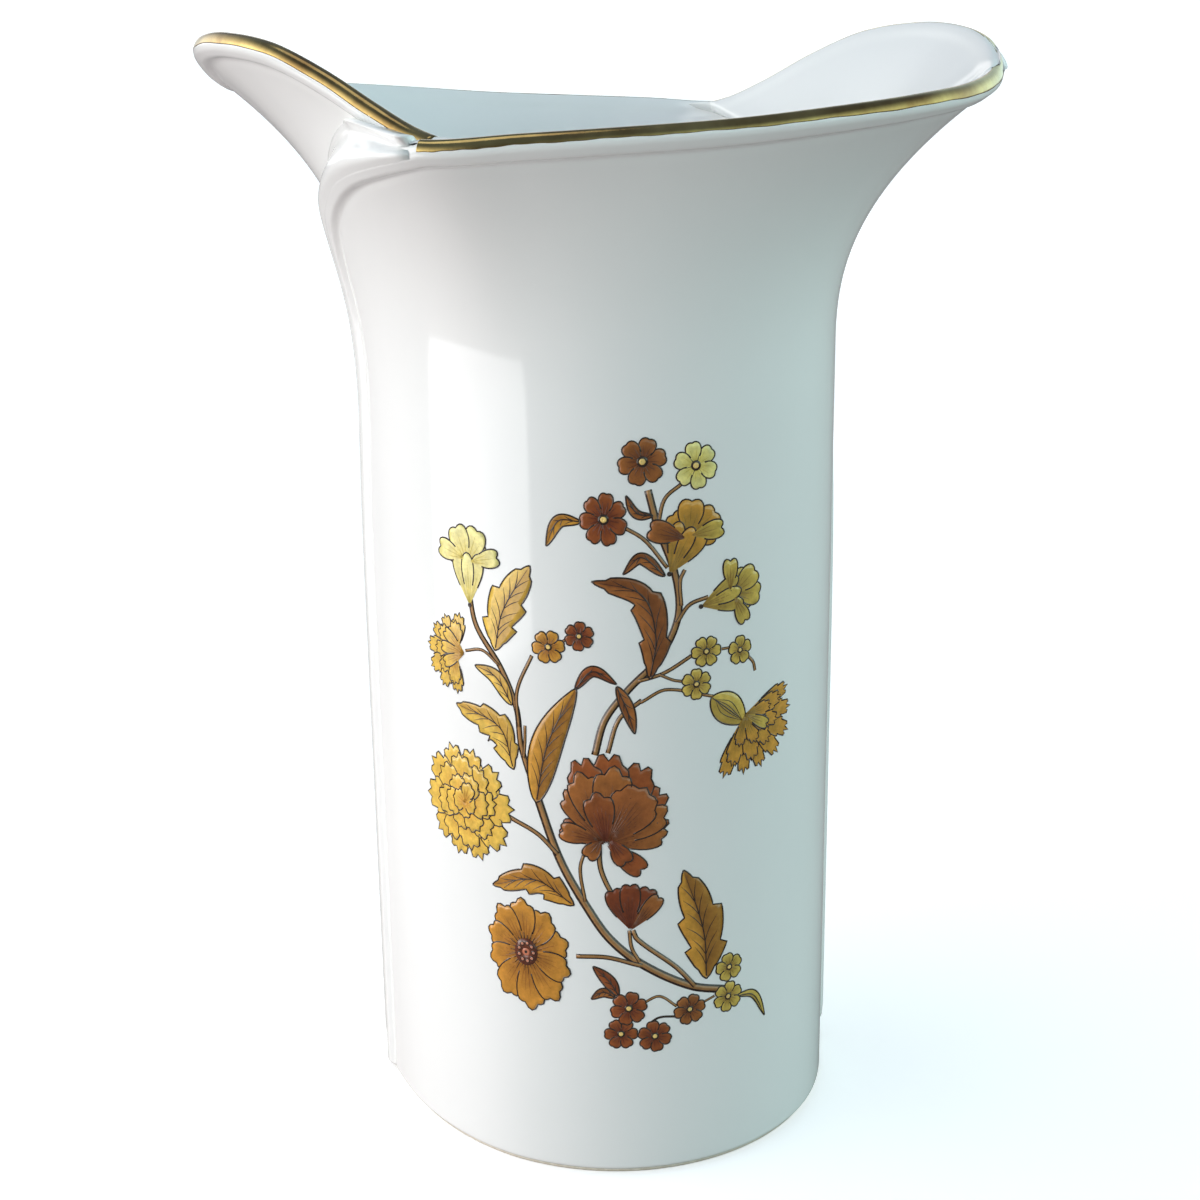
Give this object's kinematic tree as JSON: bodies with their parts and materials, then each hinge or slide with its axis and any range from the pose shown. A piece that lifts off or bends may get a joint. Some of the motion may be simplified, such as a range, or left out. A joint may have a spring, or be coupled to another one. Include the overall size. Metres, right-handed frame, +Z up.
{
  "type": "porcelain vase",
  "caption": "Tall tubular vase of two overlapping rolled leaves that flare into two lips, with a gilt rim line and a printed spray of flowers.",
  "frame": {"origin": "centre of the foot, on the surface that the vase stands on", "axes": "+Z up the tube, +X towards the right lip, -Y towards the decorated front"},
  "size_m": [0.142, 0.1258, 0.2012],
  "materials": {
    "white_glaze": "glossy clear glaze on white porcelain",
    "bare_foot": "unglazed, fine matt biscuit",
    "gilt": "bright burnished gold line, a little worn",
    "brown_ink": "fired copper-brown enamel with a faint lustre",
    "gold_ink": "fired old-gold enamel with a faint lustre",
    "pale_ink": "fired pale yellow enamel",
    "line_ink": "fired dark brown line"
  },
  "bodies": {
    "root": {"back_leaf_wall": "white_glaze", "back_rim_gilding": "gilt", "base_floor": "white_glaze", "bloom_middle_brown": "brown_ink", "bloom_top_brown": "brown_ink", "bloom_top_pale": "pale_ink", "bud_centre": "brown_ink", "carnation_big": "gold_ink", "carnation_calyx": "pale_ink", "carnation_left": "gold_ink", "carnation_right": "gold_ink", "cluster_bloom_1": "brown_ink", "cluster_bloom_2": "brown_ink", "cluster_bloom_3": "brown_ink", "cluster_bloom_4": "gold_ink", "cluster_bloom_5": "gold_ink", "cosmos": "gold_ink", "foot_ring": "bare_foot", "front_leaf_wall": "white_glaze", "front_rim_gilding": "gilt", "leaf_arrow": "brown_ink", "leaf_centre": "brown_ink", "leaf_left": "gold_ink", "leaf_long": "brown_ink", "leaf_low_left": "gold_ink", "leaf_right": "gold_ink", "peony": "brown_ink", "small_bloom_centre": "brown_ink", "small_bloom_far": "gold_ink", "small_bloom_left": "gold_ink", "small_bloom_right": "gold_ink", "stem_left": "line_ink", "stem_main": "line_ink", "stem_right": "line_ink", "trumpet_left": "pale_ink", "trumpet_right": "gold_ink", "trumpet_top": "gold_ink"}
  },
  "joints": []
}
